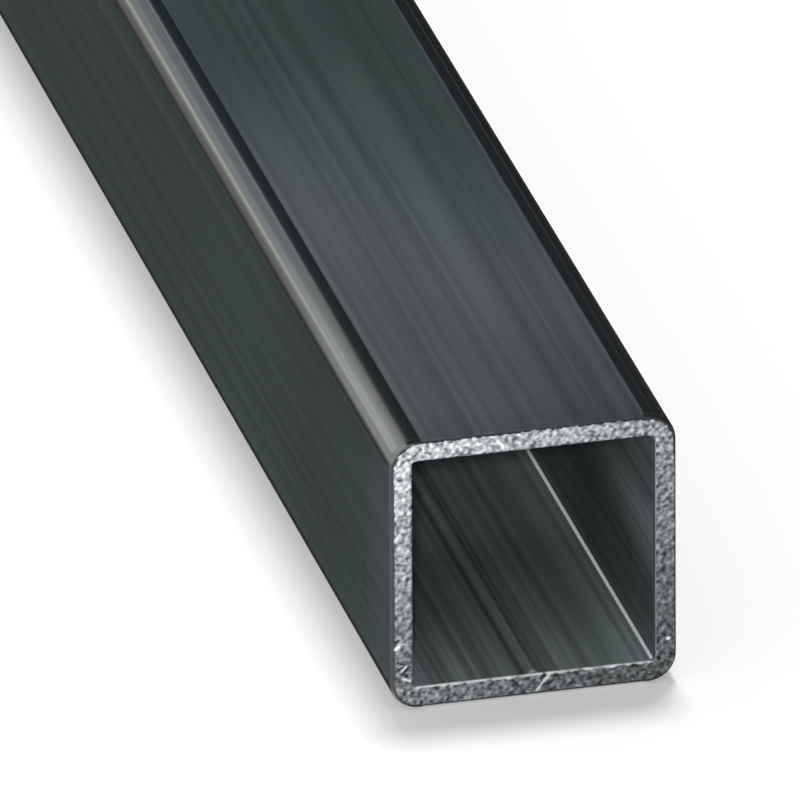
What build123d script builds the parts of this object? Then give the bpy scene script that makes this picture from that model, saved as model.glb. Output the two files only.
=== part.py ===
from build123d import *
import os

# One length of welded square steel tube, lying on its seam side. Millimetres.
# The tube runs along Y, centred on the origin in X and Y, and its underside rests on Z = 0.
# It is a single piece: strip rolled up, welded along the middle of the lower wall and sized square.

# Section
side = 25.0  # outer width and outer height
wall = 2.0  # thickness of all four walls
outer_radius = 2.5  # rounding of the four outer corners
inner_radius = 0.5  # rounding of the four inner corners

# Length of stock
length = 1000.0

# Sawn ends: both are cut square and lightly deburred
outer_break = 0.35  # rounding of the outer rim
inner_break = 0.2  # bevel of the inner rim

# Weld bead left inside, along the middle of the lower wall
bead_width = 1.0  # across its foot
bead_height = 0.2  # above the wall's inner face

bore = side - 2 * wall

with BuildPart() as square_tube:
    # The near sawn end, in the plane Y = -length / 2. Sketch x is X and sketch y is Z.
    with BuildSketch(Plane.XZ.offset(length / 2)) as section:
        with Locations((0, side / 2)):
            RectangleRounded(side, side, outer_radius)
            RectangleRounded(bore, bore, inner_radius, mode=Mode.SUBTRACT)
    extrude(amount=-length)

    # Deburring takes the sharp edge off the outside of each sawn end.
    sawn_ends = square_tube.faces().filter_by(Axis.Y)
    fillet([edge for end in sawn_ends for edge in end.outer_wire().edges()], radius=outer_break)

    # A smaller bevel runs round the mouth of the bore at each end.
    sawn_ends = square_tube.faces().filter_by(Axis.Y)
    mouths = [mouth for end in sawn_ends for mouth in end.inner_wires()]
    chamfer([edge for mouth in mouths for edge in mouth.edges()], length=inner_break)

    # The bead is a low ridge with a round crown. It stops where the bevels start.
    bead_length = length - 2 * inner_break
    with BuildSketch(Plane.XZ.offset(bead_length / 2)) as bead_section:
        with BuildLine():
            crown = ThreePointArc(
                (-bead_width / 2, wall), (0, wall + bead_height), (bead_width / 2, wall)
            )
            Polyline(crown @ 1, (bead_width / 2, wall / 2), (-bead_width / 2, wall / 2), crown @ 0)
        make_face()
    extrude(amount=-bead_length)

square_tube.part.label = "square_tube"

os.makedirs("parts", exist_ok=True)
export_step(square_tube.part, "parts/square_tube.step")

section_area = square_tube.part.volume / length
print(f"square_tube {side:g} x {side:g} x {wall:g}, {length:g} long, mean section {section_area:.1f} mm2")
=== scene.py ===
"""Looks of one length of welded square steel tube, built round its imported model.

The tube lies along Y on the floor and its near sawn end faces -Y. One closed mesh takes the
place of the plain solid: it has the same section and ends, and adds the grain of the saw cut,
the nicks in its rim and the uneven weld bead. Three finishes dress it: the rolled skin, the
sawn ends and the bore. Lengths in this file are millimetres unless a name says otherwise.
"""

import logging
import math
from dataclasses import dataclass, field
from enum import Enum
from typing import Any, Optional, Union

import bpy
import numpy as np
from mathutils import Matrix, Vector


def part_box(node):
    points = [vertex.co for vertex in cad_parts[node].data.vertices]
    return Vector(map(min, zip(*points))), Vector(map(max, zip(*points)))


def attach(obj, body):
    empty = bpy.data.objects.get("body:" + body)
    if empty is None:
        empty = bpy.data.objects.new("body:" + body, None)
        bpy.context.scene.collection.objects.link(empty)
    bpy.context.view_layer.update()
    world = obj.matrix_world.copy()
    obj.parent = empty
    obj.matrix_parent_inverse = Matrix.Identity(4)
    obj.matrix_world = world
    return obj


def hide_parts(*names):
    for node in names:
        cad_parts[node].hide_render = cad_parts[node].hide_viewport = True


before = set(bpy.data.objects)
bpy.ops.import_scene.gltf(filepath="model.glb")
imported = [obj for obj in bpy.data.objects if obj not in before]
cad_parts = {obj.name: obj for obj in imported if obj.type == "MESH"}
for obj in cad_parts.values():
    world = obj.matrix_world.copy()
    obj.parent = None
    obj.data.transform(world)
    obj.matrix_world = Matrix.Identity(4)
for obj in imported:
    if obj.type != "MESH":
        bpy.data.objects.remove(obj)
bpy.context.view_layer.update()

MM = 0.001
NODE = "square_tube"
BODY = "root"
LATTICE = 512  # slopes along each side of the noise's lattice
NOISE_GAIN = 1.6  # brings the noise to about -1 to 1
DOWNWARD = -0.999  # a normal whose z is below this points straight down

Colour = tuple[float, float, float, float]
log = logging.getLogger("square_tube")


def tone(red: float, green: float, blue: float) -> Colour:
    """Linear colour of a display colour given as 0 to 255, by the sRGB curve.

    Args:
        red: red on the display.
        green: green on the display.
        blue: blue on the display.

    Returns:
        The colour as linear red, green, blue and an alpha of 1.
    """
    linear = [
        value / 12.92 if value <= 0.04045 else ((value + 0.055) / 1.055) ** 2.4
        for value in (red / 255, green / 255, blue / 255)
    ]
    return (linear[0], linear[1], linear[2], 1.0)


class Number:
    """A number that varies over a surface. Arithmetic on it adds Math nodes to its sheet."""

    def __init__(self, sheet: "NodeSheet", socket: bpy.types.NodeSocket) -> None:
        """Wraps one output socket of a node on a sheet."""
        self.sheet = sheet
        self.socket = socket

    def _math(self, operation: str, *terms: Any) -> "Number":
        """Adds one Math node and returns its result."""
        node = self.sheet.node("ShaderNodeMath", {"operation": operation}, dict(enumerate(terms)))
        return Number(self.sheet, node.outputs[0])

    def __add__(self, other: Any) -> "Number":
        """Sum."""
        return self._math("ADD", self, other)

    def __radd__(self, other: Any) -> "Number":
        """Sum with a plain number on the left."""
        return self._math("ADD", other, self)

    def __sub__(self, other: Any) -> "Number":
        """Difference."""
        return self._math("SUBTRACT", self, other)

    def __rsub__(self, other: Any) -> "Number":
        """Difference with a plain number on the left."""
        return self._math("SUBTRACT", other, self)

    def __mul__(self, other: Any) -> "Number":
        """Product."""
        return self._math("MULTIPLY", self, other)

    def __truediv__(self, other: Any) -> "Number":
        """Quotient."""
        return self._math("DIVIDE", self, other)

    def __pow__(self, other: Any) -> "Number":
        """Power."""
        return self._math("POWER", self, other)

    def __rpow__(self, other: Any) -> "Number":
        """Power of a plain number, with this number as the exponent."""
        return self._math("POWER", other, self)

    def __neg__(self) -> "Number":
        """The number with its sign turned."""
        return self._math("MULTIPLY", self, -1.0)

    def __abs__(self) -> "Number":
        """Size without sign."""
        return self._math("ABSOLUTE", self)

    def angle_from(self, other: "Number") -> "Number":
        """Angle in radians whose tangent is this number over the other."""
        return self._math("ARCTAN2", self, other)

    def at_most(self, other: Any) -> "Number":
        """The smaller of two numbers."""
        return self._math("MINIMUM", self, other)

    def at_least(self, other: Any) -> "Number":
        """The larger of two numbers."""
        return self._math("MAXIMUM", self, other)

    def rise(self, low: float, high: float) -> "Number":
        """0 below low, 1 above high, and a smooth step between them. It falls if high is less."""
        turned = high < low
        ends = (high, low) if turned else (low, high)
        node = self.sheet.node(
            "ShaderNodeMapRange",
            {"interpolation_type": "SMOOTHSTEP"},
            {"Value": self, "From Min": ends[0], "From Max": ends[1]},
        )
        step = Number(self.sheet, node.outputs["Result"])
        return 1.0 - step if turned else step

    def ridge(self, middle: float, half_width: float) -> "Number":
        """1 at the middle, falling smoothly to 0 at half_width on either side."""
        return abs(self - middle).rise(half_width, 0.0)


class NodeSheet:
    """The node tree of one material or of the world."""

    def __init__(self, tree: bpy.types.NodeTree) -> None:
        """Takes a node tree and empties it."""
        self.tree = tree
        tree.nodes.clear()

    def node(
        self,
        kind: str,
        settings: Optional[dict[str, Any]] = None,
        sockets: Optional[dict[Union[str, int], Any]] = None,
    ) -> bpy.types.Node:
        """Adds one node of any type.

        Args:
            kind: the node's type.
            settings: its properties, set before its sockets.
            sockets: input name or index to a number, a colour, a socket or a Number.

        Returns:
            The node.
        """
        made = self.tree.nodes.new(kind)
        for name, value in (settings or {}).items():
            setattr(made, name, value)
        for key, value in (sockets or {}).items():
            source = value.socket if isinstance(value, Number) else value
            if isinstance(source, bpy.types.NodeSocket):
                self.tree.links.new(source, made.inputs[key])
            else:
                made.inputs[key].default_value = source
        return made

    def place(self) -> tuple[Number, Number, Number]:
        """The point's x, y and z on the piece, in millimetres."""
        coordinate = self.node("ShaderNodeTexCoord").outputs["Object"]
        scaled = self.node(
            "ShaderNodeVectorMath",
            {"operation": "SCALE"},
            {"Vector": coordinate, "Scale": 1 / MM},
        )
        return self.parts(scaled.outputs[0])

    def parts(self, vector: bpy.types.NodeSocket) -> tuple[Number, Number, Number]:
        """The x, y and z of a vector."""
        split = self.node("ShaderNodeSeparateXYZ", None, {0: vector})
        x, y, z = (Number(self, output) for output in split.outputs)
        return x, y, z

    def attribute(self, name: str) -> Number:
        """A number stored on the piece's own points."""
        node = self.node("ShaderNodeAttribute", {"attribute_name": name})
        return Number(self, node.outputs["Fac"])

    def noise(self, x: Any, y: Any, z: Any, detail: float = 2.0, roughness: float = 0.5) -> Number:
        """Soft noise from about 0.2 to 0.8, at a scale of one lump for each unit of x, y and z."""
        vector = self.node("ShaderNodeCombineXYZ", None, {0: x, 1: y, 2: z})
        node = self.node(
            "ShaderNodeTexNoise",
            {"noise_dimensions": "3D"},
            {
                "Vector": vector.outputs[0],
                "Scale": 1.0,
                "Detail": detail,
                "Roughness": roughness,
            },
        )
        return Number(self, node.outputs["Fac"])

    def mix(self, share: Any, first: Any, second: Any, blend: str = "MIX") -> bpy.types.NodeSocket:
        """Colour between two colours, or the first changed by the second in a blend mode."""
        node = self.node(
            "ShaderNodeMix",
            {"data_type": "RGBA", "blend_type": blend, "clamp_factor": True},
            {0: share, 6: first, 7: second},
        )
        return node.outputs[2]

    def brighten(self, colour: Any, gain: Number) -> bpy.types.NodeSocket:
        """Colour times a number that varies over the surface."""
        grey = self.node("ShaderNodeCombineColor", None, {0: gain, 1: gain, 2: gain})
        return self.mix(1.0, colour, grey.outputs[0], "MULTIPLY")

    def surface(
        self, constants: dict[str, Any], varying: dict[str, Any], height: Any, depth: float
    ) -> None:
        """Ends a material with one Principled shader.

        Args:
            constants: socket name to a value that is the same all over.
            varying: socket name to a Number or socket.
            height: relief as a Number from 0 to 1, for the bump.
            depth: how far the bump's height of 1 stands out, in millimetres.
        """
        bump = self.node(
            "ShaderNodeBump", None, {"Strength": 1.0, "Distance": depth * MM, "Height": height}
        )
        shader = self.node(
            "ShaderNodeBsdfPrincipled", None, {**constants, **varying, "Normal": bump.outputs[0]}
        )
        self.node("ShaderNodeOutputMaterial", None, {"Surface": shader.outputs[0]})


def new_material(name: str) -> tuple[bpy.types.Material, NodeSheet]:
    """A new material with an empty node tree, and its sheet."""
    material = bpy.data.materials.new(name)
    material.use_nodes = True
    return material, NodeSheet(material.node_tree)


@dataclass(frozen=True)
class Pattern:
    """Soft noise whose lumps are width across the tube and length along it, in millimetres."""

    width: float
    length: float
    detail: float = 1.0
    shift: float = 0.0

    def at(self, sheet: NodeSheet, x: Number, y: Number, z: Number) -> Number:
        """The noise at a place on the piece, from about 0.2 to 0.8."""
        upward = z / self.width + self.shift
        return sheet.noise(x / self.width, y / self.length, upward, self.detail)


@dataclass(frozen=True)
class CornerLine:
    """Painted highlight or shade along a burnished corner, at an angle round it in degrees."""

    angle: float
    half_width: float
    near: float
    change: float

    def shine(self, turn: Number, far: Number) -> Number:
        """Painted light it adds: near at the sawn end, and near + change far from it."""
        return turn.ridge(self.angle, self.half_width) * (far * self.change + self.near)


@dataclass(frozen=True)
class Section:
    """Square hollow section with rounded corners, standing on z = 0 and centred on x = 0."""

    side: float
    wall: float = 2.0
    outer_radius: float = 2.5
    flat_cells: int = 160
    corner_cells: int = 32

    def outline(self) -> tuple[np.ndarray, np.ndarray]:
        """Outer outline and its outward normals, both as (n, 2) arrays of x and z.

        Each quarter of the outline is half a flat, a corner arc and half a flat. An arc point is
        the arc's centre plus the radius times (sin a, -cos a), and the quarter is then turned
        by 90 degrees for each of the four corners. The outline starts at the middle of the
        lower face and goes round by the right.

        Returns:
            Points and unit normals. The last point is one cell short of the first.
        """
        reach = self.side / 2 - self.outer_radius
        half = self.flat_cells // 2
        run = np.linspace(0, reach, half, endpoint=False)
        bend = np.linspace(0, np.pi / 2, self.corner_cells, endpoint=False)
        rest = run - reach
        low = np.stack([run, np.full(half, -self.side / 2)], axis=1)
        arc_normal = np.stack([np.sin(bend), -np.cos(bend)], axis=1)
        arc = np.array([reach, -reach]) + self.outer_radius * arc_normal
        high = np.stack([np.full(half, self.side / 2), rest], axis=1)
        points = np.concatenate([low, arc, high])
        normals = np.concatenate(
            [np.tile([0.0, -1.0], (half, 1)), arc_normal, np.tile([1.0, 0.0], (half, 1))]
        )
        turns = [np.array([[math.cos(a), -math.sin(a)], [math.sin(a), math.cos(a)]])
                 for a in np.arange(4) * np.pi / 2]
        outline = np.concatenate([points @ turn.T for turn in turns])
        outward = np.concatenate([normals @ turn.T for turn in turns])
        return outline + np.array([0.0, self.side / 2]), outward


def slope_noise(x: np.ndarray, y: np.ndarray, seed: int) -> np.ndarray:
    """Smooth noise of about -1 to 1 whose bumps and hollows are near one unit across.

    A random slope stands on each point of the whole-number lattice. Each of the four slopes
    round a point gives the height that it reaches there, and the four heights are blended by
    the quintic 6t^5 - 15t^4 + 10t^3.

    Args:
        x: first coordinate of each point.
        y: second coordinate of each point.
        seed: picks the random slopes.

    Returns:
        One number for each point.
    """
    turn = np.random.default_rng(seed).uniform(0, 2 * np.pi, (LATTICE, LATTICE))
    column, row = np.floor(x).astype(int), np.floor(y).astype(int)
    s, t = x - column, y - row

    def height(i: int, j: int) -> np.ndarray:
        """Height that the slope on one corner of the cell reaches."""
        angle = turn[(column + i) % LATTICE, (row + j) % LATTICE]
        return np.cos(angle) * (s - i) + np.sin(angle) * (t - j)

    a = s * s * s * (s * (6 * s - 15) + 10)
    b = t * t * t * (t * (6 * t - 15) + 10)
    near = height(0, 0) * (1 - a) + height(1, 0) * a
    far = height(0, 1) * (1 - a) + height(1, 1) * a
    return NOISE_GAIN * (near * (1 - b) + far * b)


def smooth_step(value: np.ndarray, low: float, high: float) -> np.ndarray:
    """0 below low, 1 above high and 3t^2 - 2t^3 between them."""
    t = np.clip((value - low) / (high - low), 0, 1)
    return t * t * (3 - 2 * t)


@dataclass(frozen=True)
class Scratch:
    """One straight mark on a sawn end, from start to end as (x, z)."""

    start: tuple[float, float]
    end: tuple[float, float]
    half_width: float
    depth: float
    shine: float

    def strength(self, x: np.ndarray, z: np.ndarray) -> np.ndarray:
        """1 near the mark's line and 0 beyond its half width, by the distance to the segment."""
        first, last = np.array(self.start), np.array(self.end)
        along = last - first
        share = ((x - first[0]) * along[0] + (z - first[1]) * along[1]) / (along @ along)
        share = np.clip(share, 0, 1)
        gap = np.hypot(x - first[0] - share * along[0], z - first[1] - share * along[1])
        return 1 - smooth_step(gap, self.half_width / 3, self.half_width)


@dataclass(frozen=True)
class SawnEnd:
    """Relief of a sawn end: the grain of the cut, slow saw drift, and a few marks."""

    seed: int
    marks: tuple[Scratch, ...] = ()
    grain_length: float = 0.56
    grain_width: float = 0.39
    small_share: float = 0.6
    grain_height: float = 0.012
    drift_height: float = 0.02
    drift_size: float = 4.0
    burr: float = 0.03
    burr_size: float = 0.45
    lip: float = 0.12
    lip_edge: tuple[float, float] = (11.4, 12.1)

    def grain(self, x: np.ndarray, z: np.ndarray) -> np.ndarray:
        """Grain of the cut, about -1 in its pits to 1 on its bumps.

        It is noise on axes turned by 45 degrees and stretched along one of them, plus a third
        as much of the same at a little over half the size.
        """
        along, across = (x + z) * math.sqrt(0.5), (z - x) * math.sqrt(0.5)
        coarse = slope_noise(along / self.grain_length, across / self.grain_width, self.seed)
        length, width = self.small_share * self.grain_length, self.small_share * self.grain_width
        small = slope_noise(along / length, across / width, self.seed + 1)
        return coarse + small / 3

    def relief(self, x: np.ndarray, z: np.ndarray) -> np.ndarray:
        """How far each point stands out of the plane of the cut: grain plus drift less marks."""
        drift = slope_noise(x / self.drift_size, z / self.drift_size, self.seed + 2)
        height = self.grain_height * self.grain(x, z) + self.drift_height * drift
        for mark in self.marks:
            height = height - mark.depth * mark.strength(x, z)
        return height

    def shine(self, x: np.ndarray, z: np.ndarray) -> np.ndarray:
        """Tone of the marks: 0 is dark, 1 is bright, and 0.5 is no mark."""
        value = np.full_like(x, 0.5)
        for mark in self.marks:
            share = mark.strength(x, z)
            value = value * (1 - share) + mark.shine * share
        return value

    def ragged(self, x: np.ndarray, z: np.ndarray) -> np.ndarray:
        """How far the rim leans out at each point: small burrs, and a lip where the saw left."""
        burrs = slope_noise(x / self.burr_size, z / self.burr_size, self.seed + 3)
        return self.burr * burrs + self.lip * smooth_step(x, *self.lip_edge)


class Finish(Enum):
    """Material slots of the tube's mesh, in order."""

    SKIN = 0
    SAWN = 1
    BORE = 2


@dataclass(frozen=True)
class Ring:
    """One row of points round the tube.

    Its sweep says how far round the sawn end it is: 0 on the skin, 1 on the sawn face and 2 in
    the bore, with shares of a turn between them. Its end is -1, 0 or 1.
    """

    inset: float
    along: float
    sweep: float
    end: int = 0


@dataclass(frozen=True)
class MillSkin:
    """Rolled skin of the outer faces: dark, faintly green, streaked along the tube.

    The rolls burnish the corners. The light lines along them are partly painted highlight,
    and the dark band that they end in beside the upper and lower faces is partly painted shade.
    """

    slate: Colour = tone(87, 93, 98)
    green: Colour = tone(57, 73, 71)
    side_green: Colour = tone(75, 89, 88)
    side_slate: Colour = tone(92, 101, 105)
    burnished: Colour = tone(138, 142, 140)
    dulled: Colour = tone(132, 142, 144)
    cream: Colour = tone(162, 155, 136)
    brown: Colour = tone(140, 128, 112)
    # Painted light on the skin's rim along the left side.
    left_rim_painted_light: Colour = tone(70, 73, 78)
    cool: Colour = tone(124, 142, 150)
    # Painted shade on parts of the corner's rim.
    dark: Colour = tone(26, 28, 30)
    # Painted light on the rim along the underside.
    painted_light_under_rim: Colour = tone(142, 146, 149)
    half_flat: float = 10.0
    middle: float = 12.5
    half_length: float = 500.0
    rim_edge: tuple[float, float] = (0.44, 0.36)
    corner_end: float = 97.25
    green_onset: tuple[float, float] = (26.0, 76.0)
    relief: float = 0.01
    wide: Pattern = Pattern(2.0, 160.0)
    narrow: Pattern = Pattern(0.8, 120.0)
    fine: Pattern = Pattern(0.35, 90.0, 2.0)
    patches: Pattern = Pattern(40.0, 70.0)
    # Painted highlight and painted shade: the lines along the corners, the first on the right
    # corner only.
    right_line: CornerLine = CornerLine(75.0, 7.0, 0.7, -0.7)
    lines: tuple[CornerLine, ...] = (
        CornerLine(7.0, 8.0, 0.75, -0.2),
        CornerLine(22.0, 14.0, -0.25, -0.55),
        CornerLine(14.0, 7.0, 0.0, -0.25),
        CornerLine(34.5, 5.0, 0.42, -0.3),
        CornerLine(44.0, 12.0, 0.35, -0.65),
        CornerLine(57.0, 10.0, 0.0, -0.5),
        CornerLine(65.0, 6.0, -0.25, -0.05),
        CornerLine(71.0, 5.0, -0.25, 1.5),
    )

    def material(self) -> bpy.types.Material:
        """Builds the material.

        Depth is the distance from the near sawn end. Turn is the angle round a corner in
        degrees, 0 on the side face and 90 on the upper or lower one, and each of its ridges is
        one line along the corner.

        Returns:
            A material that reads only the place on the piece.
        """
        material, sheet = new_material("mill_skin")
        x, y, z = sheet.place()
        depth = y + self.half_length
        rim = (self.half_length - abs(y)).rise(*self.rim_edge)
        across = abs(x) - self.half_flat
        up = abs(z - self.middle) - self.half_flat
        turn = up.angle_from(across) * (180 / math.pi)
        on_right = x.rise(-1.0, 1.0)
        past_corner = (turn - self.corner_end) * (1.0 - on_right * 0.5)
        corner = turn.rise(-2.0, 2.0) * past_corner.rise(2.75, -2.75)
        far = depth.rise(5.0, 50.0)

        wide = self.wide.at(sheet, x, y, z)
        narrow = self.narrow.at(sheet, x, y, z)
        fine = self.fine.at(sheet, x, y, z)
        thin = (narrow - 0.5) * 0.8 + (fine - 0.5) * 0.4

        patches = self.patches.at(sheet, x, y, z)
        greener = (depth + x * 1.2).rise(*self.green_onset) + (patches - 0.5) * 0.6
        greener = greener.at_least(0.0).at_most(1.0)
        top_colour = sheet.mix(greener, self.slate, self.green)
        side_colour = sheet.mix(depth.rise(9.0, 1.0), self.side_green, self.side_slate)
        on_side = turn.rise(45.0, 0.0)
        flat_colour = sheet.mix(on_side, top_colour, side_colour)
        # Painted shade: the upper and lower faces grow darker towards the right, most near the
        # sawn end.
        painted_shade_right = x.rise(-self.half_flat, self.half_flat) * (1.0 - on_side)
        dip = turn.ridge(1.0, 5.0)
        painted_shade_right = painted_shade_right * (depth.rise(30.0, 8.0) * 0.2 + 0.14)
        # Painted light: lighter along the middle of the faces and over a stretch 20 to 85 mm from
        # the end.
        light = x.ridge(0.5, 3.5) * depth.rise(10.0, 30.0) * 0.18 + depth.ridge(52.0, 32.0) * 0.16
        light = light + x.ridge(1.0, 9.0) * depth.ridge(69.0, 16.0) * 0.2
        # Painted shade: darker on the rim and within 7 mm of the sawn end.
        shade = (1.0 - painted_shade_right + light) * (1.0 - dip * 0.05) * (1.0 - rim * 0.45)
        shade = shade * (1.0 - depth.rise(7.0, 0.0) * 0.15)
        # Painted light: the side faces are lighter near the sawn end and a little darker beyond.
        painted_side_light = 1.0 + on_side * (depth.rise(30.0, 2.0) * 0.22 - 0.03)
        streak = 1.0 + (wide - 0.5) * (0.42 + on_side * 0.18) + thin * (1.15 - on_side * 0.45)
        flat_colour = sheet.brighten(flat_colour, streak * shade * painted_side_light)
        # Painted light: the skin's rim on the left side takes a lighter grey tone.
        left_rim_painted_light = rim * turn.rise(20.0, 0.0) * x.rise(-12.0, -12.2)
        flat_colour = sheet.mix(left_rim_painted_light, flat_colour, self.left_rim_painted_light)
        # Painted light: the rim along the underside is lighter than its shadow would make it.
        flat_colour = sheet.mix(rim * z.rise(1.0, 0.3), flat_colour, self.painted_light_under_rim)

        # Painted highlight and painted shade from the corner lines, laid onto the burnish below.
        shine = self.right_line.shine(turn, far) * on_right
        for line in self.lines:
            shine = shine + line.shine(turn, far)
        corner_colour = sheet.mix(far, self.burnished, self.dulled)
        corner_colour = sheet.mix(turn.ridge(17.0, 11.0) * far * 0.8, corner_colour, self.brown)
        corner_colour = sheet.mix(turn.ridge(34.5, 5.0) * far, corner_colour, self.cream)
        corner_colour = sheet.mix(turn.ridge(86.0, 18.0), corner_colour, self.cool)
        grooves = 1.0 + (fine - 0.5) * 0.5 + (narrow - 0.5) * 0.3
        # Painted shade on the corner's rim, darkest near the side face.
        dimmed = rim * (turn.rise(26.0, 4.0) * 0.35 + 0.33)
        burnish_and_painted_highlight = (1.0 + shine * (1.0 - rim)) * grooves * (1.0 - dimmed)
        corner_colour = sheet.brighten(corner_colour, burnish_and_painted_highlight)
        # Painted shade: the rim turns dark beside the upper face and round the right corner.
        painted_dark_rim = rim * (turn.rise(62.0, 70.0) + on_right * turn.rise(10.0, 30.0)).at_most(1.0)
        corner_colour = sheet.mix(painted_dark_rim, corner_colour, self.dark)

        colour = sheet.mix(corner, flat_colour, corner_colour)
        roughness = 0.46 - corner * (1.0 - rim) * 0.22 + rim * 0.35 + (wide - 0.5) * 0.1
        metallic = (0.55 + corner * 0.45) * (1.0 - rim * 0.7)
        sheet.surface(
            {"Specular IOR Level": 0.5},
            {"Base Color": colour, "Roughness": roughness, "Metallic": metallic},
            fine * 0.6 + wide * 0.4,
            self.relief,
        )
        return material


@dataclass(frozen=True)
class SawnSteel:
    """Bright granular sawn steel in a dark rim, with a painted highlight on the bore's foot bevel.

    Painted light makes the steel lighter at the upper left of the end than at its lower right.
    """

    steel: Colour = tone(243, 250, 255)
    # The next three tones are painted highlight and painted shade on the bevel at the bore's
    # mouth.
    bevel: Colour = tone(196, 202, 202)
    bevel_highlight_line: Colour = tone(122, 132, 139)
    bevel_shade: Colour = tone(62, 69, 72)
    spark: Colour = tone(236, 239, 240)
    rim_dark: Colour = tone(46, 49, 52)
    # Painted light: the next two rim tones, for the left side and the upper left corner.
    rim_left_painted_light: Colour = tone(64, 67, 71)
    rim_painted_light: Colour = tone(96, 100, 99)
    black: Colour = tone(34, 35, 38)
    outer_radius: float = 2.5
    half_flat: float = 10.0
    middle: float = 12.5
    half_bore: float = 10.5
    bore_floor: float = 2.0
    gain_up: float = 0.054
    loss_right: float = 0.03
    loss: float = 2.23
    grain_power: float = 1.75
    relief: float = 0.02
    teeth: Pattern = Pattern(0.5, 1.0)
    wave: Pattern = Pattern(0.9, 1.0)

    def face(self, sheet: NodeSheet, x: Number, y: Number, z: Number) -> bpy.types.NodeSocket:
        """Colour of the cut: the steel times a level, a little lighter at the foot's left.

        The level is painted light, e to the power of gain_up z - loss_right x - loss, so the cut
        is lighter upward and darker to the right, times a power of the grain.

        Args:
            sheet: the sheet that takes the nodes.
            x: place across the tube.
            y: place along it.
            z: height above its underside.

        Returns:
            The colour.
        """
        fine = sheet.noise(x / 0.3, y / 0.3, z / 0.26, 0.0)
        contrast = 0.54 + z.rise(6.0, 2.0) * 0.16 + x.rise(8.0, 11.0) * 0.04
        grain = (sheet.attribute("grain") + (fine - 0.5) * 1.7) * contrast
        # Painted light: brighter upward and darker to the right.
        drop = z * self.gain_up - x * self.loss_right - self.loss
        level = math.e ** drop * (grain + 1.0).at_least(0.2) ** self.grain_power
        low_left = z.rise(2.6, 1.6) * x.ridge(-6.5, 5.5)
        return sheet.brighten(self.steel, level * (1.0 + low_left * 0.22))

    def material(self) -> bpy.types.Material:
        """Builds the material.

        Returns:
            A material that reads the place on the piece, and the grain and marks on its points.
        """
        material, sheet = new_material("sawn_steel")
        x, y, z = sheet.place()
        mark = (sheet.attribute("shine") - 0.5) * 2.0
        across = (abs(x) - self.half_flat).at_least(0.0)
        up = (abs(z - self.middle) - self.half_flat).at_least(0.0)
        inset = self.outer_radius - (across * across + up * up) ** 0.5
        teeth = self.teeth.at(sheet, x, y, z) - 0.5
        wave = self.wave.at(sheet, x, y, z)

        # Painted light: the rim is lighter at the upper left corner and along the left side.
        upper_left = (z - x).rise(32.5, 34.0) * up.at_most(across).rise(0.2, 0.8)
        rim_colour = sheet.mix(upper_left * inset.rise(0.4, 0.3), self.rim_dark, self.rim_painted_light)
        left_flat = x.rise(-11.6, -12.0) * up.rise(1.2, 0.2)
        rim_colour = sheet.mix(left_flat, rim_colour, self.rim_left_painted_light)
        right_flat = x.rise(9.0, 12.0) * z.rise(23.8, 22.0)
        side = x.rise(-9.0, -12.0) * z.rise(1.5, 4.0) * 0.1 - right_flat * 0.15
        over = z.rise(22.0, 24.0)
        upper_right = (z + x).rise(32.5, 34.0)
        edge = inset - side - upper_left * 0.12 - upper_right * 0.1 + teeth * (over * 0.35 + 0.2)
        colour = sheet.mix(edge.rise(0.26, 0.38), rim_colour, self.face(sheet, x, y, z))

        # Painted shade on the bore's inner bevel at the right, with a thin painted highlight line
        # on it.
        flat = up.rise(0.4, 0.1)
        shaded = x.rise(self.half_bore - 0.1, self.half_bore) * x.rise(10.72, 10.66) * flat
        colour = sheet.mix(shaded, colour, self.bevel_shade)
        colour = sheet.mix(x.ridge(10.68, 0.06) * flat, colour, self.bevel_highlight_line)
        # Painted highlight: a bright wavy line on the bevel at the bore's foot, fading to the
        # right.
        foot = z.rise(self.bore_floor, self.bore_floor - 0.06) * abs(x).rise(10.6, 10.2)
        foot = foot * (z + (wave - 0.5) * 0.4).rise(self.bore_floor - 0.22, self.bore_floor - 0.14)
        colour = sheet.mix(foot * (wave * 2.0 - 0.22 - x * 0.012), colour, self.bevel)
        colour = sheet.mix(mark.at_least(0.0), colour, self.spark)
        colour = sheet.mix((-mark).at_least(0.0), colour, self.black)
        sheet.surface(
            {"Specular IOR Level": 0.5, "Metallic": 0.4},
            {"Base Color": colour, "Roughness": 0.42 + (wave - 0.5) * 0.1},
            wave,
            self.relief,
        )
        return material


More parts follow.
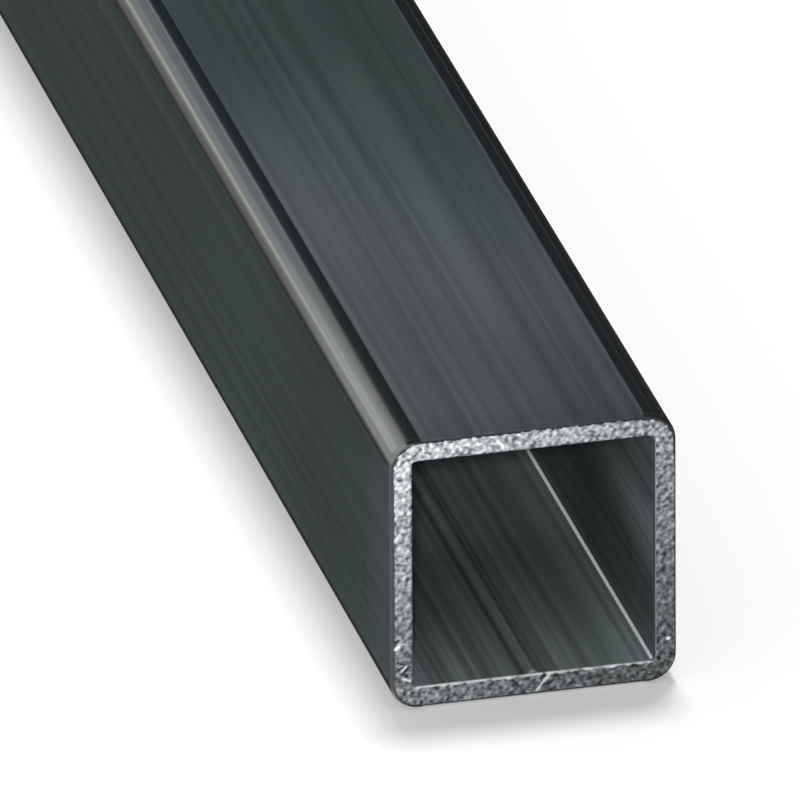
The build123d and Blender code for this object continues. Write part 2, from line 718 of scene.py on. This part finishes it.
@dataclass(frozen=True)
class BoreWall:
    """Inside of the tube: dark green grey with streaks, a bead, painted light and shade."""

    dark: Colour = tone(93, 102, 102)
    # Pale and slate are painted light: the walls near the mouth and the floor by the left wall.
    pale: Colour = tone(125, 134, 133)
    slate: Colour = tone(125, 134, 142)
    # Painted highlight of the bore's lower right inner corner.
    painted_crease_highlight: Colour = tone(202, 211, 210)
    bead: Colour = tone(102, 111, 109)
    half_flat: float = 10.0
    middle: float = 12.5
    half_length: float = 500.0
    relief: float = 0.01
    wide: Pattern = Pattern(1.5, 140.0, 1.0, 40.0)
    narrow: Pattern = Pattern(0.7, 120.0, 0.0, 40.0)
    fine: Pattern = Pattern(0.3, 80.0, 1.0, 40.0)

    def material(self) -> bpy.types.Material:
        """Builds the material. Inward is the distance from the nearer sawn end.

        Returns:
            A material that reads only the place on the piece.
        """
        material, sheet = new_material("bore_wall")
        x, y, z = sheet.place()
        across = abs(x) - self.half_flat
        up = abs(z - self.middle) - self.half_flat
        corner = across.at_most(up).rise(0.18, 0.28)
        # Painted highlight: the lower right inner corner of the bore.
        painted_crease_highlight = corner * x.rise(-1.0, 1.0) * z.rise(self.middle + 1.0, self.middle - 1.0)
        wide = self.wide.at(sheet, x, y, z)
        narrow = self.narrow.at(sheet, x, y, z)
        fine = self.fine.at(sheet, x, y, z)
        streak = 1.0 + (wide - 0.5) * 0.8 + (narrow - 0.5) * 0.85 + (fine - 0.5) * 0.9
        low = z.rise(2.6, 2.0)
        inward = self.half_length - abs(y)
        # Painted light and shade: lighter near the mouth, towards the right and on parts of the
        # floor, light and dark bands up the walls, and darker about 23 mm in.
        mouth = inward.rise(17.0, 0.0)
        on_wall = across.rise(0.3, 0.45)
        painted_wall_light = z.rise(9.0, 14.0) * 0.33 - z.rise(15.0, 18.0) * 0.3 + z.ridge(6.0, 3.0) * 0.1
        painted_wall_light = painted_wall_light - inward.rise(14.0, 21.0) * 0.06 - 0.3
        painted_floor_light = x.rise(6.5, 9.0) * 0.25
        painted_floor_light = painted_floor_light + (x.ridge(-6.0, 2.2) * 0.45 - x.ridge(0.0, 2.5) * 0.2) * mouth
        painted_bore_light = (1.0 + mouth * z.rise(6.0, 2.0) * 0.8 + x * 0.012) * (1.0 + on_wall * painted_wall_light)
        painted_bore_light = painted_bore_light * (1.0 + low * painted_floor_light) * (1.0 - inward.ridge(23.0, 8.0) * 0.16)
        bead = abs(x + 0.1).rise(0.42, 0.2) * low
        # Painted shade: a dark line along the left side of the bead.
        painted_shade_beside_bead = x.ridge(-0.9, 0.45) * low
        # Painted light: the walls above mid height near the mouth and the floor by the left wall
        # are paler.
        lit = z.rise(6.0, 14.0) * inward.rise(20.0, 5.0)
        colour = sheet.mix(lit, self.dark, self.pale)
        colour = sheet.mix(lit * inward.rise(9.0, 3.0), colour, self.slate)
        colour = sheet.mix(low * x.rise(-8.6, -10.2) * 0.5, colour, self.slate)
        colour = sheet.mix(bead, colour, self.bead)
        colour = sheet.brighten(colour, streak * painted_bore_light * (1.0 - painted_shade_beside_bead * 0.4))
        # Painted highlight: the lower right corner turns light.
        colour = sheet.mix(painted_crease_highlight, colour, self.painted_crease_highlight)
        roughness, metallic = 0.42 - painted_crease_highlight * 0.1, 0.55 - painted_crease_highlight * 0.45
        sheet.surface(
            {"Specular IOR Level": 0.5},
            {"Base Color": colour, "Roughness": roughness, "Metallic": metallic},
            fine,
            self.relief,
        )
        return material


NEAR_MARKS: tuple[Scratch, ...] = (
    Scratch((0.62, 1.5), (0.95, 1.85), 0.17, 0.05, 0.0),
    Scratch((0.75, 0.75), (1.0, 1.0), 0.13, 0.04, 0.1),
    Scratch((0.25, 0.45), (1.42, 1.9), 0.12, 0.04, 0.86),
    Scratch((-12.0, 6.35), (-11.75, 6.5), 0.17, 0.08, 0.0),
    Scratch((-12.0, 5.75), (-11.8, 5.9), 0.23, 0.02, 1.0),
    Scratch((-11.75, 6.15), (-11.35, 6.15), 0.12, 0.02, 0.85),
    Scratch((-11.86, 4.44), (-11.33, 4.19), 0.14, 0.06, 0.0),
    Scratch((-10.76, 3.97), (-11.56, 3.25), 0.14, 0.06, 0.0),
    Scratch((-11.76, 3.76), (-11.46, 3.97), 0.13, 0.05, 0.0),
    Scratch((-11.59, 3.29), (-11.03, 3.18), 0.14, 0.05, 0.0),
    Scratch((-11.1, 4.05), (-11.56, 3.54), 0.12, 0.0, 0.82),
    Scratch((-11.4, 2.9), (-10.75, 2.62), 0.15, 0.0, 0.86),
    Scratch((11.7, 3.92), (11.82, 3.96), 0.16, -0.03, 1.0),
    Scratch((11.44, 4.15), (11.5, 4.25), 0.18, 0.05, 0.0),
    Scratch((-10.3, 23.55), (-9.75, 24.2), 0.15, 0.05, 0.05),
    Scratch((-9.4, 23.8), (-8.9, 23.65), 0.15, 0.04, 0.15),
    Scratch((-0.3, 24.15), (0.0, 24.5), 0.13, 0.05, 0.1),
)
FAR_MARKS: tuple[Scratch, ...] = (
    Scratch((-11.9, 15.2), (-10.8, 16.1), 0.16, 0.05, 1.0),
    Scratch((4.1, 23.4), (4.6, 24.3), 0.18, 0.05, 0.0),
    Scratch((8.6, 0.6), (7.7, 1.7), 0.16, 0.05, 0.9),
)


@dataclass
class SquareTube:
    """The length of tube as one closed mesh that takes the place of the plain solid."""

    section: Section
    length: float
    outer_break: float = 0.35
    inner_break: float = 0.2
    bead_width: float = 1.0
    bead_height: float = 0.2
    bead_wander: float = 0.06
    wander_length: float = 14.0
    bead_swell: float = 0.25
    swell_length: float = 6.0
    bead_seeds: tuple[int, int] = (91, 92)
    mouth_wave: float = 0.05
    wave_length: float = 0.7
    lean_start: float = 0.5
    wave_reach: float = 0.7
    skin_share: float = 0.67
    rim_rows: int = 6
    face_rows: int = 15
    near_end: SawnEnd = field(default_factory=lambda: SawnEnd(seed=11, marks=NEAR_MARKS))
    far_end: SawnEnd = field(default_factory=lambda: SawnEnd(seed=37, marks=FAR_MARKS))
    skin_steps: tuple[float, ...] = (0.1, 0.4, 1.5, 4, 9, 18, 30, 45, 70, 110, 180, 300)
    bore_steps: tuple[float, ...] = (
        0.1, 0.5, 1.5, 3, 5, 7.5, 10, 13, 16, 20, 24, 29, 35, 42, 50, 60, 80, 120, 200, 320,
    )

    def end_rings(self) -> list[Ring]:
        """Rings from the skin over the rim and across the sawn end to the bore, at the far end.

        The rim is a quarter circle: inset r(1 - cos a) and r sin a towards the end. The inner
        bevel is a straight slope.
        """
        r, wall, half = self.outer_break, self.section.wall, self.length / 2
        rings = []
        for share in np.linspace(0, 1, self.rim_rows + 1)[:-1]:
            a = share * math.pi / 2
            rings.append(Ring(r * (1 - math.cos(a)), half - r * (1 - math.sin(a)), share))
        for share in np.linspace(0, 1, self.face_rows + 1):
            rings.append(Ring(r + (wall - self.inner_break - r) * share, half, 1.0))
        rings.append(Ring(wall - self.inner_break / 2, half - self.inner_break / 2, 1.5))
        rings.append(Ring(wall, half - self.inner_break, 2.0))
        return rings

    def rings(self) -> list[Ring]:
        """All rings in order: near end to far end outside, and back again inside."""
        far = [Ring(g.inset, g.along, g.sweep, 1) for g in self.end_rings()]
        near = [Ring(g.inset, -g.along, g.sweep, -1) for g in reversed(far)]
        half, wall = self.length / 2, self.section.wall
        out = [half - self.outer_break - step for step in self.skin_steps]
        inside = [half - self.inner_break - step for step in self.bore_steps]
        skin = [Ring(0.0, y, 0.0) for y in [-y for y in out] + out[::-1]]
        bore = [Ring(wall, y, 2.0) for y in inside + [-y for y in inside[::-1]]]
        return skin + far + bore + near

    def bead(self, x: np.ndarray, y: np.ndarray) -> np.ndarray:
        """Height of the weld bead: a round crown, a little uneven along the tube.

        The crown is height times (1 - (2x / width)^2), whose height and place wander slowly.
        """
        row = np.full_like(y, 0.5)
        first, second = self.bead_seeds
        wander = self.bead_wander * slope_noise(y / self.wander_length, row, first)
        swell = 1 + self.bead_swell * slope_noise(y / self.swell_length, row, second)
        crown = 1 - (2 * (x - wander) / self.bead_width) ** 2
        return self.bead_height * swell * np.clip(crown, 0, 1)

    def grid(self) -> tuple[np.ndarray, dict[str, np.ndarray]]:
        """Points of every ring, with what its materials read at each.

        A point is the outline's point less its normal times the ring's inset. On a sawn end it
        also stands out by the end's relief, the rim leans by the end's burrs, and the edge of
        the bore's mouth waves a little.

        Returns:
            Points as (rings, around, 3) in millimetres, and the marks' shine and the grain as
            (rings, around).
        """
        outline, outward = self.section.outline()
        rings = self.rings()
        inset = np.array([g.inset for g in rings])[:, None]
        along = np.array([g.along for g in rings])[:, None]
        sweep = np.array([g.sweep for g in rings])[:, None]
        end = np.array([g.end for g in rings])[:, None]
        x = outline[None, :, 0] - inset * outward[None, :, 0]
        z = outline[None, :, 1] - inset * outward[None, :, 1]
        y = along + np.zeros_like(x)

        wall = self.section.wall
        floor = (sweep == 2) & (end == 0) & (outward[None, :, 1] < DOWNWARD)
        z = z + np.where(floor, self.bead(x, y), 0.0)

        shine, grain = np.full_like(x, 0.5), np.zeros_like(x)
        rise = smooth_step(inset, 0.0, self.outer_break) * (sweep < 2)
        fall = smooth_step(wall - inset, 0.0, self.inner_break)
        rim_share = rise * smooth_step(wall - inset, self.lean_start, wall - self.outer_break)
        mouth_share = fall * smooth_step(inset, wall - self.wave_reach, wall - self.inner_break)
        for sign, cut in ((-1, self.near_end), (1, self.far_end)):
            here = end == sign
            wave = slope_noise(x / self.wave_length, z / self.wave_length, cut.seed + 5)
            wave = self.mouth_wave * wave
            lean = np.where(here, cut.ragged(x, z) * rim_share + wave * mouth_share, 0.0)
            x = x + lean * outward[None, :, 0]
            z = z + lean * outward[None, :, 1]
            y = y + np.where(here, sign * cut.relief(x, z) * rise * fall, 0.0)
            shine = np.where(here, cut.shine(x, z), shine)
            grain = np.where(here, cut.grain(x, z), grain)
        return np.stack([x, y, z], axis=-1), {"shine": shine, "grain": grain}

    def build(self) -> bpy.types.Object:
        """Makes the closed mesh: every ring joined to the next, and the last to the first.

        A strip's finish follows from the mean sweep of its two rings. The skin reaches a good
        way over the rim. The corners of each face are in the order that points it outwards.

        Returns:
            The new object, at the origin, in metres.
        """
        points, stored = self.grid()
        rows, columns = points.shape[:2]
        index = np.arange(rows * columns).reshape(rows, columns)
        right, ahead = np.roll(index, -1, axis=1), np.roll(index, -1, axis=0)
        both = np.roll(right, -1, axis=0)
        quads = np.stack([index, ahead, both, right], axis=-1).reshape(-1, 4)

        mesh = bpy.data.meshes.new("tube")
        mesh.from_pydata((points.reshape(-1, 3) * MM).tolist(), [], quads.tolist())
        sweep = np.array([ring.sweep for ring in self.rings()])
        middle = (sweep + np.roll(sweep, -1)) / 2
        finish = np.select(
            [middle < self.skin_share, middle < 2],
            [Finish.SKIN.value, Finish.SAWN.value],
            Finish.BORE.value,
        )
        mesh.polygons.foreach_set("material_index", np.repeat(finish, columns).astype(np.int32))
        mesh.polygons.foreach_set("use_smooth", np.ones(len(quads), dtype=bool))
        for name, values in stored.items():
            attribute = mesh.attributes.new(name, "FLOAT", "POINT")
            attribute.data.foreach_set("value", values.reshape(-1).astype(np.float32))
        mesh.update()
        piece = bpy.data.objects.new("tube", mesh)
        bpy.context.scene.collection.objects.link(piece)
        return piece

    def dress(self, piece: bpy.types.Object) -> None:
        """Gives the piece its three finishes, in the order of Finish."""
        for finish in (MillSkin(), SawnSteel(), BoreWall()):
            piece.data.materials.append(finish.material())


class Ray(Enum):
    """Kinds of ray that a stage object can be hidden from."""

    CAMERA = "visible_camera"
    DIFFUSE = "visible_diffuse"
    GLOSSY = "visible_glossy"
    TRANSMISSION = "visible_transmission"
    VOLUME = "visible_volume_scatter"
    SHADOW = "visible_shadow"


def hide_from(thing: bpy.types.Object, *rays: Ray) -> None:
    """Hides a stage object or a light from some kinds of ray."""
    for ray in rays:
        setattr(thing, ray.value, False)


@dataclass(frozen=True)
class Softbox:
    """A bright round patch on the reflection dome, from a soft edge at outer to full at inner."""

    azimuth: float
    elevation: float
    inner: float
    outer: float
    level: float

    def direction(self) -> tuple[float, float, float]:
        """Unit vector towards the patch. Azimuth 0 is +Y and 90 is +X, elevation is above it."""
        a, e = math.radians(self.azimuth), math.radians(self.elevation)
        return (math.sin(a) * math.cos(e), math.cos(a) * math.cos(e), math.sin(e))


@dataclass(frozen=True)
class Lamp:
    """A far, round, soft light: where it stands, its strength and how wide it looks."""

    name: str
    towards: tuple[float, float, float]
    power: float
    spread: float
    only_on_tube: bool = False


@dataclass
class Studio:
    """Pale floor that glows a little, a sky, soft lamps, and softboxes that the metal reflects."""

    floor_size: float = 300.0
    floor_drop: float = 0.0001
    floor_colour: Colour = (0.9, 0.9, 0.9, 1.0)
    floor_glow: float = 0.35
    sky: float = 0.37
    sky_tilt: tuple[float, float] = (-0.7, 0.2)
    sky_edge: float = -0.03
    horizon: tuple[float, float] = (0.022, 0.015)
    horizon_level: float = 1.3
    dome_radius: float = 40.0
    dome_level: float = 0.045
    lamps: tuple[Lamp, ...] = (
        Lamp("overhead", (0.078, 0.25, 1.0), 1.54, 12.0),
        Lamp("front_fill", (-0.220, -0.876, 0.428), 4.0, 3.0, True),
        Lamp("back_fill", (0.220, 0.876, 0.428), 1.5, 20.0, True),
    )
    softboxes: tuple[Softbox, ...] = (
        Softbox(-27.0, 9.5, 22.0, 28.0, 0.75),
        Softbox(190.0, -20.0, 5.0, 42.0, 0.8),
        Softbox(0.0, 90.0, 20.0, 50.0, 0.6),
    )

    def floor(self) -> None:
        """Lays a plain pale floor just under the tube."""
        half = self.floor_size / 2
        corners = [(-half, -half), (half, -half), (half, half), (-half, half)]
        mesh = bpy.data.meshes.new("floor")
        mesh.from_pydata([(x, y, -self.floor_drop) for x, y in corners], [], [(0, 1, 2, 3)])
        material, sheet = new_material("pale_floor")
        matt = sheet.node("ShaderNodeBsdfDiffuse", None, {"Color": self.floor_colour})
        glow = sheet.node("ShaderNodeEmission", None, {"Strength": self.floor_glow})
        both = sheet.node("ShaderNodeAddShader", None, {0: matt.outputs[0], 1: glow.outputs[0]})
        sheet.node("ShaderNodeOutputMaterial", None, {"Surface": both.outputs[0]})
        material.cycles.emission_sampling = "NONE"
        mesh.materials.append(material)
        made = bpy.data.objects.new("floor", mesh)
        bpy.context.scene.collection.objects.link(made)
        hide_from(made, Ray.GLOSSY)

    def sphere(self, name: str, radius: float, material: bpy.types.Material) -> bpy.types.Object:
        """Hangs a sphere of latitude and longitude rings round the tube.

        Args:
            name: the object's name.
            radius: its radius in metres.
            material: its material.

        Returns:
            The new stage object.
        """
        rows, columns = 24, 48
        latitude = np.linspace(-np.pi / 2, np.pi / 2, rows)[:, None]
        longitude = np.linspace(0, 2 * np.pi, columns, endpoint=False)[None, :]
        points = radius * np.stack(
            [
                np.cos(latitude) * np.cos(longitude),
                np.cos(latitude) * np.sin(longitude),
                np.sin(latitude) + 0 * longitude,
            ],
            axis=-1,
        )
        index = np.arange(rows * columns).reshape(rows, columns)
        right = np.roll(index, -1, axis=1)
        quads = np.stack([index[:-1], right[:-1], right[1:], index[1:]], axis=-1).reshape(-1, 4)
        mesh = bpy.data.meshes.new(name)
        mesh.from_pydata(points.reshape(-1, 3).tolist(), [], quads.tolist())
        mesh.materials.append(material)
        made = bpy.data.objects.new(name, mesh)
        bpy.context.scene.collection.objects.link(made)
        return made

    def dome(self) -> None:
        """Hangs the reflection dome, which only shiny surfaces see."""
        made = self.sphere("reflection_dome", self.dome_radius, self.dome_material())
        hide_from(made, Ray.CAMERA, Ray.DIFFUSE, Ray.TRANSMISSION, Ray.VOLUME, Ray.SHADOW)

    def dome_material(self) -> bpy.types.Material:
        """Glow of the dome: a dim level plus each softbox, by the angle from its middle."""
        material, sheet = new_material("dome_glow")
        coordinate = sheet.node("ShaderNodeTexCoord").outputs["Object"]
        direction = sheet.node(
            "ShaderNodeVectorMath", {"operation": "NORMALIZE"}, {0: coordinate}
        ).outputs[0]
        glow: Any = self.dome_level
        for box in self.softboxes:
            product = sheet.node(
                "ShaderNodeVectorMath",
                {"operation": "DOT_PRODUCT"},
                {0: direction, 1: box.direction()},
            )
            facing = Number(sheet, product.outputs["Value"])
            edges = [math.cos(math.radians(angle)) for angle in (box.outer, box.inner)]
            glow = facing.rise(*edges) * box.level + glow
        shader = sheet.node("ShaderNodeEmission", None, {"Strength": glow})
        sheet.node("ShaderNodeOutputMaterial", None, {"Surface": shader.outputs[0]})
        material.cycles.emission_sampling = "NONE"
        return material

    def light(self, lamp: Lamp, tube: bpy.types.Object) -> None:
        """Sets up one lamp. A fill lights the tube alone."""
        data = bpy.data.lights.new(lamp.name, "SUN")
        data.energy = lamp.power
        data.angle = math.radians(lamp.spread)
        made = bpy.data.objects.new(lamp.name, data)
        made.rotation_euler = Vector(lamp.towards).to_track_quat("Z", "Y").to_euler()
        bpy.context.scene.collection.objects.link(made)
        hide_from(made, Ray.CAMERA, Ray.GLOSSY)
        if lamp.only_on_tube:
            lit = bpy.data.collections.new(lamp.name + "_lights")
            lit.objects.link(tube)
            made.light_linking.receiver_collection = lit

    def world(self) -> None:
        """Sets the sky: soft, only above the floor, and brighter on the left than on the right.

        A thin white band lies along the horizon, so the floor has no edge.
        """
        world = bpy.data.worlds.new("sky")
        world.use_nodes = True
        bpy.context.scene.world = world
        sheet = NodeSheet(world.node_tree)
        coordinate = sheet.node("ShaderNodeTexCoord").outputs["Generated"]
        right, behind, above = sheet.parts(coordinate)
        soft = (right * self.sky_tilt[0] + behind * self.sky_tilt[1] + 1.0) * self.sky
        band = above.rise(*self.horizon)
        level = above.rise(self.sky_edge, 0.0) * (soft + (self.horizon_level - soft) * band)
        shader = sheet.node("ShaderNodeBackground", None, {"Strength": level})
        sheet.node("ShaderNodeOutputWorld", None, {"Surface": shader.outputs[0]})

    def build(self, tube: bpy.types.Object) -> None:
        """Builds the whole stage, with colours shown as they are."""
        self.floor()
        self.dome()
        self.world()
        for lamp in self.lamps:
            self.light(lamp, tube)
        bpy.context.scene.view_settings.view_transform = "Standard"


@dataclass(frozen=True)
class Viewpoint:
    """The photograph's camera: a very long lens, a little to the left and well above.

    It is given by where it stands as seen from the middle of the near sawn end, and by the
    pixel of that middle in a picture of the stated size.
    """

    azimuth: float = -14.10
    elevation: float = 25.36
    roll: float = -0.231
    distance: float = 2669.0
    focal_pixels: float = 31570.0
    picture: float = 800.0
    middle_pixel: tuple[float, float] = (533.4, 561.9)
    sensor_width: float = 36.0
    clip: tuple[float, float] = (0.1, 500.0)

    def build(self, target: Vector) -> None:
        """Places the camera and makes it the scene's.

        Args:
            target: middle of the near sawn end, in metres.
        """
        a, e = math.radians(self.azimuth), math.radians(self.elevation)
        back = Vector((math.sin(a) * math.cos(e), -math.cos(a) * math.cos(e), math.sin(e)))
        level_right = (-back).cross(Vector((0, 0, 1))).normalized()
        level_up = level_right.cross(-back)
        c, s = math.cos(math.radians(self.roll)), math.sin(math.radians(self.roll))
        right, up = c * level_right + s * level_up, -s * level_right + c * level_up
        aside = self.middle_pixel[0] - self.picture / 2
        down = self.middle_pixel[1] - self.picture / 2
        ahead = (-back * self.focal_pixels - right * aside + up * down).normalized()
        right = (right - right.dot(ahead) * ahead).normalized()
        up = right.cross(ahead)
        data = bpy.data.cameras.new("camera")
        data.sensor_width = self.sensor_width
        data.lens = data.sensor_width * self.focal_pixels / self.picture
        data.clip_start, data.clip_end = self.clip
        camera = bpy.data.objects.new("camera", data)
        turn = Matrix((right, up, -ahead)).transposed().to_4x4()
        camera.matrix_world = Matrix.Translation(target + back * self.distance * MM) @ turn
        bpy.context.scene.collection.objects.link(camera)
        bpy.context.scene.camera = camera


def main() -> None:
    """Builds the tube, the stage and the camera."""
    logging.basicConfig(level=logging.INFO, format="%(name)s: %(message)s")
    low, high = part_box(NODE)
    side, length = (high.x - low.x) / MM, (high.y - low.y) / MM
    tube = SquareTube(Section(side=round(side, 3)), length=round(length, 3))
    piece = tube.build()
    tube.dress(piece)
    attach(piece, BODY)
    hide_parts(NODE)
    faces = len(piece.data.polygons)
    log.info("%s: %d faces, %.1f mm side, %.0f mm long", piece.name, faces, side, length)

    Studio().build(piece)
    middle = Vector(((low.x + high.x) / 2, low.y, (low.z + high.z) / 2))
    Viewpoint().build(middle)


if __name__ == "__main__":
    main()
